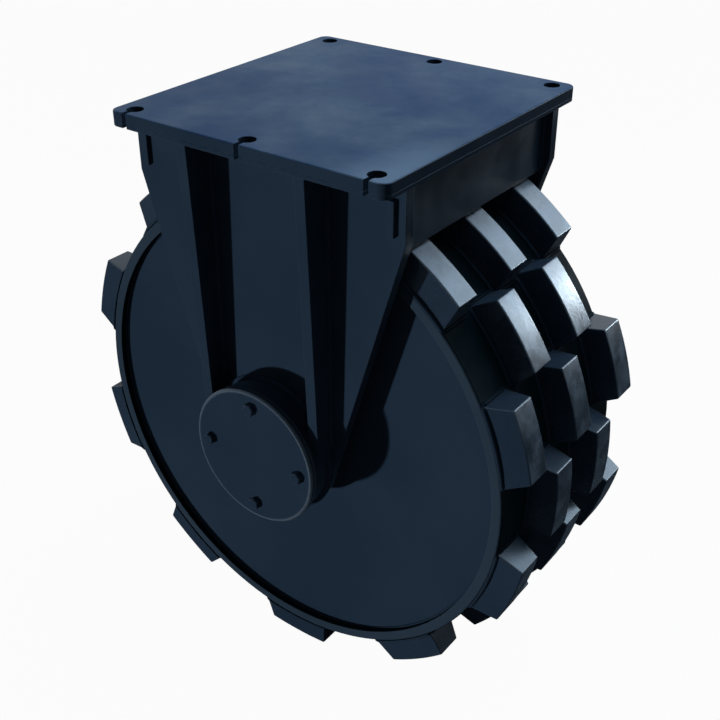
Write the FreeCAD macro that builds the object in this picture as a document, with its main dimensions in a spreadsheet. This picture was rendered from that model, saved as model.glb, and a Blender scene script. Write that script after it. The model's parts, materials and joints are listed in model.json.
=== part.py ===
import FreeCAD, Part
import math
import os
import re

import Sketcher
from FreeCAD import Placement, Rotation, Vector

# Padfoot compaction wheel that bolts under an excavator arm: a forked bracket
# with a flat mounting plate, and a steel drum with staggered pads that turns in
# two tapered roller bearings. Row frame: origin at the centre of the mounting
# plate's upper face, Z up, Y along the wheel's axle, the front side at -Y.

SIZES = {
    # Mounting plate and the cap plate welded under it
    "plate_length": 640,
    "plate_width": 662,
    "plate_thick": 22,
    "plate_corner": 20,
    "plate_bevel": 2,
    "cap_thick": 8,
    "hole_margin_x": 40,
    "hole_margin_y": 31,
    "hole_radius": 16.5,
    "slit_width": 10,
    # Side plates of the fork
    "side_inset": 3,
    "side_thick": 24,
    "side_skirt": 104,
    "side_end_radius": 150,
    # End panels with their tabs
    "panel_thick": 12,
    "panel_inset": 20,
    "panel_clearance": 4,
    "tab_top": 23,
    "tab_height": 68,
    "tab_stand_out": 8,
    "tab_clearance": 0.5,
    # Ribs on the outside of the side plates
    "rib_thick": 24,
    "rib_offset": 138,
    "rib_setback": 1,
    "rib_taper": 23,
    # Bearing housings and what closes them
    "housing_radius": 146,
    "housing_length": 51,
    "spigot_radius": 120,
    "cover_radius": 152.5,
    "cover_thick": 14.5,
    "cover_chamfer": 3.5,
    "cover_recess": 3,
    "cover_spigot_wall": 10,
    "gasket_thick": 1.5,
    "cover_fit": 0.2,
    "bolt_circle": 116,
    "bolt_radius": 8,
    "bolt_count": 4,
    "bolt_head_flats": 24,
    "bolt_head_height": 10,
    "bolt_grip": 26,
    "bolt_hole_depth": 30,
    "bolt_clearance": 0.75,
    # Drum
    "drum_radius": 517,
    "drum_wall": 23,
    "drum_width": 448,
    "drum_bevel": 3,
    "drum_side_gap": 19,
    "disc_recess": 16,
    "disc_thick": 20,
    "hub_tube_radius": 100,
    "hub_tube_reach": 8,
    # Pads
    "pad_height": 58,
    "pad_tip_length": 151,
    "pad_tip_width": 60,
    "pad_flank_angle": 9,
    "pad_side_angle": 8,
    "pad_sink": 20,
    "pad_rows": 10,
    "pad_edge_gap": 4.2,
    "row_stagger": 14,
    "wheel_clearance": 59,
    # Axle and what is on it
    "axle_body_radius": 70,
    "journal_radius": 50,
    "thread_radius": 45,
    "axle_chamfer": 3,
    "sleeve_radius": 66,
    "washer_radius": 60,
    "washer_thick": 3,
    "nut_radius": 68,
    "nut_thick": 12,
    "nut_slot_width": 12,
    "nut_slot_depth": 6,
    "nut_slots": 4,
    # Tapered roller bearings
    "bearing_width": 42,
    "race_outer_radius": 102,
    "pitch_radius": 76,
    "pitch_angle": 14,
    "roller_half_angle": 2,
    "roller_length": 32,
    "roller_count": 18,
    "roller_flats": 12,
    "roller_clearance": 0.3,
    "race_lip": 2.4,
    "race_lip_height": 4,
    "cage_thick": 4,
    "cage_overhang": 3,
    "cage_clearance": 0.5,
    # Shaft seals
    "seal_outer_radius": 84,
    "seal_width": 10,
    "seal_wall": 4,
    "seal_gap": 0.3,
    "seal_shoulder": 76,
    "seal_land": 5,
}

doc = FreeCAD.newDocument("padfoot_wheel")
sheet = doc.addObject("Spreadsheet::Sheet", "Sizes")
for row, (alias, number) in enumerate(SIZES.items(), start=1):
    sheet.set("A%d" % row, alias)
    sheet.set("B%d" % row, str(number))
    sheet.setAlias("B%d" % row, alias)
doc.recompute()

# Lengths and places that follow from the driving sizes, in the sheet as formulas
DERIVED = {
    "under_plates": "plate_thick + cap_thick",
    "hole_pitch": "plate_length / 2 - hole_margin_x",
    "hole_span": "plate_width - 2 * hole_margin_y",
    "side_length": "plate_length - 2 * side_inset",
    "side_inner": "drum_width / 2 + drum_side_gap",
    "side_outer": "side_inner + side_thick",
    "panel_face": "side_length / 2 - panel_inset",
    "housing_end": "side_outer + housing_length",
    "cover_inner": "housing_end + gasket_thick",
    "cover_outer": "cover_inner + cover_thick",
    "disc_face": "drum_width / 2 - disc_recess",
    "drum_inner": "drum_radius - drum_wall",
    "tip_radius": "drum_radius + pad_height",
    "axle_drop": "under_plates + wheel_clearance + tip_radius",
    "pad_foot_width": "pad_tip_width + 2 * pad_height * tan(pad_side_angle * 1 deg)",
    "row_of_three_pitch": "drum_width / 2 - pad_edge_gap - pad_foot_width / 2",
    "row_of_two_pitch": "row_of_three_pitch - row_stagger",
    "panel_back": "panel_face - panel_thick",
    "panel_low": "axle_drop - sqrt((tip_radius + panel_clearance) ^ 2 - panel_back ^ 2)",
    "hub_end": "drum_width / 2 + hub_tube_reach",
    "seal_end": "side_inner + seal_width + 1",
    "race_start": "seal_end + seal_land",
    "race_end": "race_start + bearing_width",
    "race_middle": "race_start + bearing_width / 2",
    "apex_reach": "pitch_radius / tan(pitch_angle * 1 deg)",
    "inner_angle": "pitch_angle - roller_half_angle",
    "outer_angle": "pitch_angle + roller_half_angle",
    "nut_start": "race_end + washer_thick",
    "axle_end": "nut_start + nut_thick - 1",
}


def bound(text):
    """The text as an expression, with every sheet value addressed in the sheet."""
    def address(match):
        word = match.group(0)
        known = word in SIZES or word in DERIVED
        return "Sizes." + word if known else word
    return re.sub(r"[a-z_][a-z_0-9]*", address, text)


first_row = len(SIZES) + 2
for row, (alias, formula) in enumerate(DERIVED.items(), start=first_row):
    sheet.set("A%d" % row, alias)
    sheet.set("B%d" % row, "=" + formula)
    sheet.setAlias("B%d" % row, alias)
    doc.recompute()


def value(text):
    """The number that an expression of sheet values gives now."""
    result = sheet.evalExpression(bound(text))
    return float(getattr(result, "Value", result))


NODES = []
AT_AXLE = "-axle_drop"


def keep(item, label):
    """Marks an object as a piece of the real thing, to be written out."""
    item.Label = label
    NODES.append(item)
    return item


def new_body(name, height="0"):
    body = doc.addObject("PartDesign::Body", name)
    body.setExpression("Placement.Base.z", bound(height))
    return body


def sketch_on(body, name, role, lift="0"):
    """An empty sketch on an origin plane of the body, lifted along its normal."""
    plane = [item for item in body.Origin.OriginFeatures if item.Role == role][0]
    sketch = body.newObject("Sketcher::SketchObject", name)
    sketch.AttachmentSupport = [(plane, "")]
    sketch.MapMode = "FlatFace"
    sketch.setExpression("AttachmentOffset.Base.z", bound(lift))
    return sketch


def pin_point(sketch, geometry, end, across, up):
    """Ties a point of the sketch to its two coordinates, given as expressions."""
    for kind, axis, text in (("DistanceX", -2, across), ("DistanceY", -1, up)):
        if text == "0":
            sketch.addConstraint(Sketcher.Constraint("PointOnObject", geometry, end, axis))
            continue
        rule = Sketcher.Constraint(kind, -1, 1, geometry, end, value(text))
        index = sketch.addConstraint(rule)
        sketch.setExpression("Constraints[%d]" % index, bound(text))


def add_outline(sketch, corners):
    """A closed outline of straight lines through corners given as expressions."""
    points = [Vector(value(across), value(up), 0) for across, up in corners]
    first = sketch.GeometryCount
    count = len(points)
    for index in range(count):
        line = Part.LineSegment(points[index], points[(index + 1) % count])
        sketch.addGeometry(line, False)
    for index in range(count):
        follower = first + (index + 1) % count
        joint = Sketcher.Constraint("Coincident", first + index, 2, follower, 1)
        sketch.addConstraint(joint)
    for index, (across, up) in enumerate(corners):
        pin_point(sketch, first + index, 1, across, up)


def add_circle(sketch, across, up, radius):
    centre = Vector(value(across), value(up), 0)
    circle = Part.Circle(centre, Vector(0, 0, 1), value(radius))
    geometry = sketch.addGeometry(circle, False)
    pin_point(sketch, geometry, 3, across, up)
    rule = Sketcher.Constraint("Radius", geometry, value(radius))
    index = sketch.addConstraint(rule)
    sketch.setExpression("Constraints[%d]" % index, bound(radius))


def pad(body, sketch, length):
    feature = body.newObject("PartDesign::Pad", sketch.Name + "_pad")
    feature.Profile = sketch
    feature.setExpression("Length", bound(length))
    body.Tip = feature
    return feature


def pocket_through(body, sketch, reversed_way=False):
    feature = body.newObject("PartDesign::Pocket", sketch.Name + "_pocket")
    feature.Profile = sketch
    feature.Type = "ThroughAll"
    feature.Reversed = reversed_way
    body.Tip = feature
    return feature


def turn(name, corners, height=AT_AXLE):
    """A body turned about the axle's line from corners of (radius, place along Y)."""
    body = new_body(name, height)
    sketch = sketch_on(body, name + "_profile", "XY_Plane")
    add_outline(sketch, corners)
    feature = body.newObject("PartDesign::Revolution", name + "_turned")
    feature.Profile = sketch
    feature.ReferenceAxis = (sketch, ["V_Axis"])
    feature.Angle = 360
    body.Tip = feature
    doc.recompute()
    return body


def ring_of_holes(body, name, radius, depth_plane=None, depth=None):
    """Holes on the bolt circle, along Y: through, or blind from a plane."""
    sketch = sketch_on(body, name, "XZ_Plane", depth_plane or "0")
    add_circle(sketch, "0", "bolt_circle", radius)
    if depth is None:
        cut = pocket_through(body, sketch, reversed_way=True)
    else:
        cut = body.newObject("PartDesign::Pocket", name + "_pocket")
        cut.Profile = sketch
        cut.setExpression("Length", bound(depth))
        body.Tip = cut
    doc.recompute()
    polar_pattern(body, cut, sketch, "bolt_count")


def polar_pattern(body, feature, sketch, count):
    """Repeats a cut about the axle's line, the normal of its sketch plane."""
    pattern = body.newObject("PartDesign::PolarPattern", feature.Name + "_ring")
    pattern.Originals = [feature]
    pattern.Axis = (sketch, ["N_Axis"])
    pattern.Angle = 360
    pattern.setExpression("Occurrences", bound(count))
    body.Tip = pattern
    doc.recompute()


def mirrored(source, label, normal):
    """The other-handed twin of a piece, across a plane through the origin."""
    twin = doc.addObject("Part::Mirroring", label)
    twin.Source = source
    twin.Base = Vector(0, 0, 0)
    twin.Normal = normal
    return keep(twin, label)


def front_and_rear(item, name):
    """Keeps a front piece and adds its twin at the rear."""
    keep(item, "front_" + name)
    mirrored(item, "rear_" + name, Vector(0, 1, 0))


def copies(label, source, places, place_of_node):
    """Identical solids that share one node, placed in the node's own frame."""
    shapes = []
    for place in places:
        shape = source.Shape.copy()
        shape.Placement = place.multiply(shape.Placement)
        shapes.append(shape)
    node = doc.addObject("Part::Feature", label)
    node.Shape = Part.makeCompound(shapes)
    node.Placement = place_of_node
    return node


def about_axle(degrees):
    """A turn about the wheel's axis, in the wheel's own frame."""
    return Placement(Vector(0, 0, 0), Rotation(Vector(0, 1, 0), degrees))


def along_axle(distance):
    return Placement(Vector(0, distance, 0), Rotation())


# Mounting plate and cap plate, with a slit from each front bolt hole to the edge
def bolted_plate(name, underside, thick, bevel):
    body = new_body(name)
    outline = sketch_on(body, name + "_outline", "XY_Plane", "-(%s)" % underside)
    add_outline(outline, [
        ("-plate_length / 2", "-plate_width / 2"),
        ("plate_length / 2", "-plate_width / 2"),
        ("plate_length / 2", "plate_width / 2"),
        ("-plate_length / 2", "plate_width / 2"),
    ])
    slab = pad(body, outline, thick)
    doc.recompute()
    corners = body.newObject("PartDesign::Fillet", name + "_corners")
    corners.Base = (slab, upright_edges(slab.Shape))
    corners.setExpression("Radius", bound("plate_corner"))
    body.Tip = corners
    doc.recompute()
    if bevel:
        rim = body.newObject("PartDesign::Chamfer", name + "_bevel")
        rim.Base = (corners, edges_at(corners.Shape, 0.0))
        rim.setExpression("Size", bound(bevel))
        body.Tip = rim
        doc.recompute()
    holes = sketch_on(body, name + "_holes", "XY_Plane")
    slits = sketch_on(body, name + "_slits", "XY_Plane")
    for side in ("-", ""):
        add_circle(holes, "-hole_pitch", side + "hole_span / 2", "hole_radius")
    add_outline(slits, [
        ("-hole_pitch - slit_width / 2", "-hole_span / 2"),
        ("-hole_pitch + slit_width / 2", "-hole_span / 2"),
        ("-hole_pitch + slit_width / 2", "-(plate_width / 2 + slit_width)"),
        ("-hole_pitch - slit_width / 2", "-(plate_width / 2 + slit_width)"),
    ])
    bored = pocket_through(body, holes)
    slotted = pocket_through(body, slits)
    doc.recompute()
    rows = body.newObject("PartDesign::LinearPattern", name + "_rows")
    rows.Originals = [bored, slotted]
    rows.Direction = (holes, ["H_Axis"])
    rows.setExpression("Length", bound("2 * hole_pitch"))
    rows.Occurrences = 3
    body.Tip = rows
    doc.recompute()
    return keep(body, name)


def upright_edges(shape):
    """Names of the edges that run along Z."""
    names = []
    for index, edge in enumerate(shape.Edges, start=1):
        box = edge.BoundBox
        if box.ZLength > max(box.XLength, box.YLength) + 1:
            names.append("Edge%d" % index)
    return names


def edges_at(shape, height):
    """Names of the edges that lie in one level plane."""
    names = []
    for index, edge in enumerate(shape.Edges, start=1):
        box = edge.BoundBox
        if abs(box.ZMin - height) < 1e-6 and abs(box.ZMax - height) < 1e-6:
            names.append("Edge%d" % index)
    return names


bolted_plate("mounting_plate", "plate_thick", "plate_thick", "plate_bevel")
bolted_plate("cap_plate", "under_plates", "cap_thick", None)


# Side plate: upright skirt, then straight flanks tangent to a round end
def side_plate():
    body = new_body("front_side_plate")
    sketch = sketch_on(body, "side_outline", "XZ_Plane", "side_inner")
    half = value("side_length / 2")
    top = -value("under_plates")
    skirt = -value("under_plates + side_skirt")
    centre = Vector(0, -value("axle_drop"), 0)
    radius = value("side_end_radius")
    reach = math.hypot(half, skirt - centre.y)
    touch = math.atan2(skirt - centre.y, half) - math.acos(radius / reach)
    meet = centre + Vector(math.cos(touch), math.sin(touch), 0) * radius
    other = Vector(-meet.x, meet.y, 0)
    lines = [
        (Vector(-half, top, 0), Vector(half, top, 0)),
        (Vector(half, top, 0), Vector(half, skirt, 0)),
        (Vector(half, skirt, 0), meet),
        (other, Vector(-half, skirt, 0)),
        (Vector(-half, skirt, 0), Vector(-half, top, 0)),
    ]
    for start, end in lines:
        sketch.addGeometry(Part.LineSegment(start, end), False)
    circle = Part.Circle(centre, Vector(0, 0, 1), radius)
    arc = Part.ArcOfCircle(circle, math.pi - touch, 2 * math.pi + touch)
    sketch.addGeometry(arc, False)
    for one, other_one in ((0, 1), (1, 2), (3, 4), (4, 0)):
        joint = Sketcher.Constraint("Coincident", one, 2, other_one, 1)
        sketch.addConstraint(joint)
    sketch.addConstraint(Sketcher.Constraint("Tangent", 2, 2, 5, 2))
    sketch.addConstraint(Sketcher.Constraint("Tangent", 3, 1, 5, 1))
    pin_point(sketch, 0, 1, "-side_length / 2", "-under_plates")
    pin_point(sketch, 1, 1, "side_length / 2", "-under_plates")
    pin_point(sketch, 2, 1, "side_length / 2", "-(under_plates + side_skirt)")
    pin_point(sketch, 4, 1, "-side_length / 2", "-(under_plates + side_skirt)")
    pin_point(sketch, 5, 3, "0", "-axle_drop")
    index = sketch.addConstraint(Sketcher.Constraint("Radius", 5, radius))
    sketch.setExpression("Constraints[%d]" % index, bound("side_end_radius"))
    pad(body, sketch, "side_thick")
    bore = sketch_on(body, "side_bore", "XZ_Plane")
    add_circle(bore, "0", "-axle_drop", "spigot_radius")
    pocket_through(body, bore, reversed_way=True)
    slots = sketch_on(body, "tab_slots", "XZ_Plane")
    low = "-(under_plates + tab_top + tab_height + tab_clearance)"
    high = "-(under_plates + tab_top - tab_clearance)"
    for side in ("", "-"):
        near = side + "(panel_back - tab_clearance)"
        far = side + "(panel_face + tab_clearance)"
        add_outline(slots, [(near, low), (far, low), (far, high), (near, high)])
    pocket_through(body, slots, reversed_way=True)
    doc.recompute()
    return body


front_and_rear(side_plate(), "side_plate")


# End panel between the side plates, its tabs through their slots and its lower
# edge just clear of the circle that the pads' tips turn on
def end_panel():
    body = new_body("right_end_panel")
    sketch = sketch_on(body, "panel_outline", "YZ_Plane", "panel_back")
    tab_reach = "(side_outer + tab_stand_out)"
    tab_high = "-(under_plates + tab_top)"
    tab_low = "-(under_plates + tab_top + tab_height)"
    top = "-under_plates"
    low = "-panel_low"
    half_outline = [
        ("side_inner", top),
        ("side_inner", tab_high),
        (tab_reach, tab_high),
        (tab_reach, tab_low),
        ("side_inner", tab_low),
        ("side_inner", low),
    ]
    other_half = [("-" + across, up) for across, up in reversed(half_outline)]
    add_outline(sketch, half_outline + other_half)
    pad(body, sketch, "panel_thick")
    doc.recompute()
    return body


right_panel = keep(end_panel(), "right_end_panel")
mirrored(right_panel, "left_end_panel", Vector(1, 0, 0))


# Rib: an upright blade whose foot is cut to sit on the bearing housing
def rib():
    blade = new_body("rib_blade")
    sketch = sketch_on(blade, "rib_outline", "YZ_Plane", "rib_offset - rib_thick / 2")
    top = "-under_plates"
    foot = "-axle_drop + sqrt(housing_radius ^ 2 - rib_offset ^ 2)"
    add_outline(sketch, [
        ("-side_outer", top),
        ("-(plate_width / 2 - rib_setback)", top),
        ("-(plate_width / 2 - rib_setback - rib_taper)", foot),
        ("-side_outer", foot),
    ])
    pad(blade, sketch, "rib_thick")
    drum = doc.addObject("Part::Cylinder", "rib_foot_cutter")
    drum.setExpression("Radius", bound("housing_radius"))
    drum.setExpression("Height", bound("plate_width"))
    drum.Placement = Placement(Vector(0, 0, 0), Rotation(Vector(1, 0, 0), 90))
    drum.setExpression("Placement.Base.z", bound(AT_AXLE))
    cut = doc.addObject("Part::Cut", "front_right_rib")
    cut.Base = blade
    cut.Tool = drum
    doc.recompute()
    return cut


front_right = keep(rib(), "front_right_rib")
front_left = mirrored(front_right, "front_left_rib", Vector(1, 0, 0))
mirrored(front_right, "rear_right_rib", Vector(0, 1, 0))
mirrored(front_left, "rear_left_rib", Vector(0, 1, 0))


# Bearing housing: a spigot in the side plate's bore and a thick collar outside
housing = turn("front_bearing_housing", [
    ("seal_outer_radius", "-side_inner"),
    ("spigot_radius", "-side_inner"),
    ("spigot_radius", "-side_outer"),
    ("housing_radius", "-side_outer"),
    ("housing_radius", "-housing_end"),
    ("race_outer_radius", "-housing_end"),
    ("race_outer_radius", "-race_start"),
    ("seal_shoulder", "-race_start"),
    ("seal_shoulder", "-seal_end"),
    ("seal_outer_radius", "-seal_end"),
])
ring_of_holes(housing, "housing_holes", "bolt_radius", "housing_end", "bolt_hole_depth")
front_and_rear(housing, "bearing_housing")

gasket = turn("front_cover_gasket", [
    ("race_outer_radius", "-housing_end"),
    ("housing_radius", "-housing_end"),
    ("housing_radius", "-cover_inner"),
    ("race_outer_radius", "-cover_inner"),
])
ring_of_holes(gasket, "gasket_holes", "bolt_radius + bolt_clearance")
front_and_rear(gasket, "cover_gasket")

# Hub cover: a chamfered disc whose spigot holds the outer race in
cover = turn("front_hub_cover", [
    ("0", "-cover_outer"),
    ("cover_radius - cover_chamfer", "-cover_outer"),
    ("cover_radius", "-(cover_outer - cover_chamfer)"),
    ("cover_radius", "-cover_inner"),
    ("race_outer_radius - cover_fit", "-cover_inner"),
    ("race_outer_radius - cover_fit", "-race_end"),
    ("race_outer_radius - cover_spigot_wall", "-race_end"),
    ("race_outer_radius - cover_spigot_wall", "-(cover_inner + cover_recess)"),
    ("0", "-(cover_inner + cover_recess)"),
])
ring_of_holes(cover, "cover_holes", "bolt_radius + bolt_clearance")
front_and_rear(cover, "hub_cover")


# Cover bolts: hexagon heads on the cover, shanks into the housing
def cover_bolt():
    shank = doc.addObject("Part::Cylinder", "bolt_shank")
    shank.setExpression("Radius", bound("bolt_radius"))
    shank.setExpression("Height", bound("cover_thick + gasket_thick + bolt_grip"))
    shank.setExpression("Placement.Base.z", bound("-(cover_thick + gasket_thick + bolt_grip)"))
    head = doc.addObject("Part::Prism", "bolt_head")
    head.Polygon = 6
    head.setExpression("Circumradius", bound("bolt_head_flats / sqrt(3)"))
    head.setExpression("Height", bound("bolt_head_height"))
    bolt = doc.addObject("Part::Fuse", "cover_bolt")
    bolt.Base = head
    bolt.Tool = shank
    doc.recompute()
    return bolt


def cover_bolts():
    bolt = cover_bolt()
    count = round(value("bolt_count"))
    lie_down = Placement(
        Vector(0, -value("cover_outer"), value("bolt_circle")),
        Rotation(Vector(1, 0, 0), 90),
    )
    places = [about_axle(360 / count * step).multiply(lie_down) for step in range(count)]
    at_axle = Placement(Vector(0, 0, -value("axle_drop")), Rotation())
    return copies("front_cover_bolts", bolt, places, at_axle)


front_and_rear(cover_bolts(), "cover_bolts")

# Shaft seal: a press ring in the housing with a flange just clear of the sleeve
seal = turn("front_shaft_seal", [
    ("seal_outer_radius", "-(seal_end - seal_width)"),
    ("seal_outer_radius", "-seal_end"),
    ("seal_outer_radius - seal_wall", "-seal_end"),
    ("seal_outer_radius - seal_wall", "-(seal_end - seal_width + seal_wall)"),
    ("sleeve_radius + seal_gap", "-(seal_end - seal_width + seal_wall)"),
    ("sleeve_radius + seal_gap", "-(seal_end - seal_width)"),
])
front_and_rear(seal, "shaft_seal")


# Tapered roller bearing: both races and the rollers share one apex on the axis
def raceway(angle, place, clearance):
    """Radius of a raceway cone at a place along the axle, apex outboard."""
    reach = "(race_middle + apex_reach - (%s))" % place
    return "%s * tan(%s * 1 deg) + (%s)" % (reach, angle, clearance)


inner_gap = "-roller_clearance"
outer_gap = "roller_clearance"
big_end = "(race_start + race_lip)"
small_end = "(race_end - race_lip)"
inner_race = turn("front_inner_race", [
    ("journal_radius", "-race_start"),
    (raceway("inner_angle", big_end, "race_lip_height"), "-race_start"),
    (raceway("inner_angle", big_end, "race_lip_height"), "-" + big_end),
    (raceway("inner_angle", big_end, inner_gap), "-" + big_end),
    (raceway("inner_angle", small_end, inner_gap), "-" + small_end),
    (raceway("inner_angle", small_end, "race_lip_height / 2"), "-" + small_end),
    (raceway("inner_angle", small_end, "race_lip_height / 2"), "-race_end"),
    ("journal_radius", "-race_end"),
])
front_and_rear(inner_race, "inner_race")

outer_race = turn("front_outer_race", [
    (raceway("outer_angle", "race_start", outer_gap), "-race_start"),
    ("race_outer_radius", "-race_start"),
    ("race_outer_radius", "-race_end"),
    (raceway("outer_angle", "race_end", outer_gap), "-race_end"),
])
front_and_rear(outer_race, "outer_race")


def tapered_roller(name, spare):
    """One roller at the top of its ring, made larger all round by a spare.

    Its cone has flats whose corners lie on the true cone, to keep its faces few.
    """
    along = "(pitch_radius / sin(pitch_angle * 1 deg))"
    growth = "tan(roller_half_angle * 1 deg)"
    half_length = "(roller_length / 2 + %s)" % spare
    tilt = math.radians(value("pitch_angle"))
    to_apex = Vector(0, -math.cos(tilt), -math.sin(tilt))
    middle = Vector(0, -value("race_middle"), value("pitch_radius"))
    ends = []
    for end, toward in (("big", 1), ("small", -1)):
        ring = doc.addObject("Part::RegularPolygon", "%s_%s_end" % (name, end))
        ring.setExpression("Polygon", bound("roller_flats"))
        reach = "%s + %d * roller_length / 2" % (along, toward)
        ring.setExpression("Circumradius", bound("(%s) * %s + %s" % (reach, growth, spare)))
        centre = middle - to_apex * (toward * value(half_length))
        ring.Placement = Placement(centre, Rotation(Vector(0, 0, 1), to_apex))
        ends.append(ring)
    doc.recompute()
    roller = doc.addObject("Part::Loft", name)
    roller.Sections = ends
    roller.Solid = True
    roller.Ruled = True
    doc.recompute()
    return roller


def roller_ring(label, roller):
    count = round(value("roller_count"))
    places = [about_axle(360 / count * step) for step in range(count)]
    at_axle = Placement(Vector(0, 0, -value("axle_drop")), Rotation())
    return copies(label, roller, places, at_axle)


rollers = roller_ring("front_rollers", tapered_roller("roller", "0"))
front_and_rear(rollers, "rollers")


def cage_wall(place, side):
    """Radius of the cage's inner or outer wall at a place along the axle."""
    reach = "(race_middle + apex_reach - (%s))" % place
    return "%s * tan(pitch_angle * 1 deg) %s cage_thick / 2" % (reach, side)


def roller_cage():
    half = "(roller_length / 2 + cage_overhang)"
    inboard = "(race_middle - %s)" % half
    outboard = "(race_middle + %s)" % half
    ring = turn("cage_ring", [
        (cage_wall(inboard, "-"), "-" + inboard),
        (cage_wall(inboard, "+"), "-" + inboard),
        (cage_wall(outboard, "+"), "-" + outboard),
        (cage_wall(outboard, "-"), "-" + outboard),
    ])
    pockets = roller_ring("cage_pockets", tapered_roller("pocket", "cage_clearance"))
    cage = doc.addObject("Part::Cut", "front_roller_cage")
    cage.Base = ring
    cage.Tool = pockets
    doc.recompute()
    return cage


front_and_rear(roller_cage(), "roller_cage")

# Drum: a rolled shell, two discs let in from its edges, and a central tube
shell = turn("drum_shell", [
    ("drum_inner", "-drum_width / 2"),
    ("drum_radius - drum_bevel", "-drum_width / 2"),
    ("drum_radius", "-(drum_width / 2 - drum_bevel)"),
    ("drum_radius", "drum_width / 2 - drum_bevel"),
    ("drum_radius - drum_bevel", "drum_width / 2"),
    ("drum_inner", "drum_width / 2"),
])
keep(shell, "drum_shell")

disc = turn("front_drum_disc", [
    ("hub_tube_radius", "-disc_face"),
    ("drum_inner", "-disc_face"),
    ("drum_inner", "-(disc_face - disc_thick)"),
    ("hub_tube_radius", "-(disc_face - disc_thick)"),
])
front_and_rear(disc, "drum_disc")

tube = turn("hub_tube", [
    ("axle_body_radius", "-hub_end"),
    ("hub_tube_radius", "-hub_end"),
    ("hub_tube_radius", "hub_end"),
    ("axle_body_radius", "hub_end"),
])
keep(tube, "hub_tube")

# Axle: stepped down at both ends for the races and the locknuts
half_axle = [
    ("thread_radius - axle_chamfer", "axle_end"),
    ("thread_radius", "(axle_end - axle_chamfer)"),
    ("thread_radius", "race_end"),
    ("journal_radius", "race_end"),
    ("journal_radius", "hub_end"),
    ("axle_body_radius", "hub_end"),
]
front_half = [(radius, "-" + place) for radius, place in half_axle]
rear_half = list(reversed(half_axle))
axle = turn("axle", [("0", "-axle_end")] + front_half + rear_half + [("0", "axle_end")])
keep(axle, "axle")

sleeve = turn("front_seal_sleeve", [
    ("journal_radius", "-hub_end"),
    ("sleeve_radius", "-hub_end"),
    ("sleeve_radius", "-race_start"),
    ("journal_radius", "-race_start"),
])
front_and_rear(sleeve, "seal_sleeve")

washer = turn("front_lock_washer", [
    ("thread_radius", "-race_end"),
    ("washer_radius", "-race_end"),
    ("washer_radius", "-nut_start"),
    ("thread_radius", "-nut_start"),
])
front_and_rear(washer, "lock_washer")


# Locknut: a ring with spanner slots across its rim
def locknut():
    nut = turn("front_locknut", [
        ("thread_radius", "-nut_start"),
        ("nut_radius", "-nut_start"),
        ("nut_radius", "-(nut_start + nut_thick)"),
        ("thread_radius", "-(nut_start + nut_thick)"),
    ])
    slot = sketch_on(nut, "nut_slot", "XZ_Plane")
    add_outline(slot, [
        ("-nut_slot_width / 2", "nut_radius - nut_slot_depth"),
        ("nut_slot_width / 2", "nut_radius - nut_slot_depth"),
        ("nut_slot_width / 2", "nut_radius + nut_slot_depth"),
        ("-nut_slot_width / 2", "nut_radius + nut_slot_depth"),
    ])
    cut = pocket_through(nut, slot, reversed_way=True)
    doc.recompute()
    polar_pattern(nut, cut, slot, "nut_slots")
    return nut


front_and_rear(locknut(), "locknut")


# Pad: a tapered block with a rounded tip, its foot cut to the drum's curve
def drum_pad():
    tall = "(pad_height + pad_sink)"
    lean = "%s * tan(pad_flank_angle * 1 deg)" % tall
    slope = "%s * tan(pad_side_angle * 1 deg)" % tall
    block = doc.addObject("Part::Wedge", "pad_block")
    block.Ymin = 0
    block.setExpression("Ymax", bound(tall))
    block.setExpression("Xmin", bound("-(pad_tip_length / 2 + %s)" % lean))
    block.setExpression("Xmax", bound("pad_tip_length / 2 + %s" % lean))
    block.setExpression("X2min", bound("-pad_tip_length / 2"))
    block.setExpression("X2max", bound("pad_tip_length / 2"))
    block.setExpression("Zmin", bound("-(pad_tip_width / 2 + %s)" % slope))
    block.setExpression("Zmax", bound("pad_tip_width / 2 + %s" % slope))
    block.setExpression("Z2min", bound("-pad_tip_width / 2"))
    block.setExpression("Z2max", bound("pad_tip_width / 2"))
    stand_up = Rotation(Vector(1, 0, 0), 90)
    block.Placement = Placement(Vector(0, 0, 0), stand_up)
    block.setExpression("Placement.Base.z", bound("drum_radius - pad_sink"))
    rounds = []
    for name, radius in (("drum_round", "drum_radius"), ("tip_round", "tip_radius")):
        cylinder = doc.addObject("Part::Cylinder", name)
        cylinder.setExpression("Radius", bound(radius))
        cylinder.setExpression("Height", bound("drum_width"))
        cylinder.Placement = Placement(Vector(0, 0, 0), stand_up)
        cylinder.setExpression("Placement.Base.y", bound("drum_width / 2"))
        rounds.append(cylinder)
    footed = doc.addObject("Part::Cut", "pad_footed")
    footed.Base = block
    footed.Tool = rounds[0]
    tipped = doc.addObject("Part::Common", "pad")
    tipped.Base = footed
    tipped.Tool = rounds[1]
    doc.recompute()
    return tipped


def pad_rows():
    """Rows of three and of two by turns, half a pitch apart round the drum."""
    pad_shape = drum_pad()
    rows = round(value("pad_rows"))
    wide = value("row_of_three_pitch")
    narrow = value("row_of_two_pitch")
    number = 1
    for step in range(rows):
        for places_across, half_step in (((-wide, 0, wide), 0.5), ((-narrow / 2, narrow / 2), 1)):
            bearing = 90 - 360 / rows * (step + half_step)
            turned = Placement(
                Vector(0, 0, -value("axle_drop")),
                Rotation(Vector(0, 1, 0), bearing),
            )
            label = "pad_row_%02d" % number
            across = [along_axle(place) for place in places_across]
            keep(copies(label, pad_shape, across, turned), label)
            number += 1


pad_rows()


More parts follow.
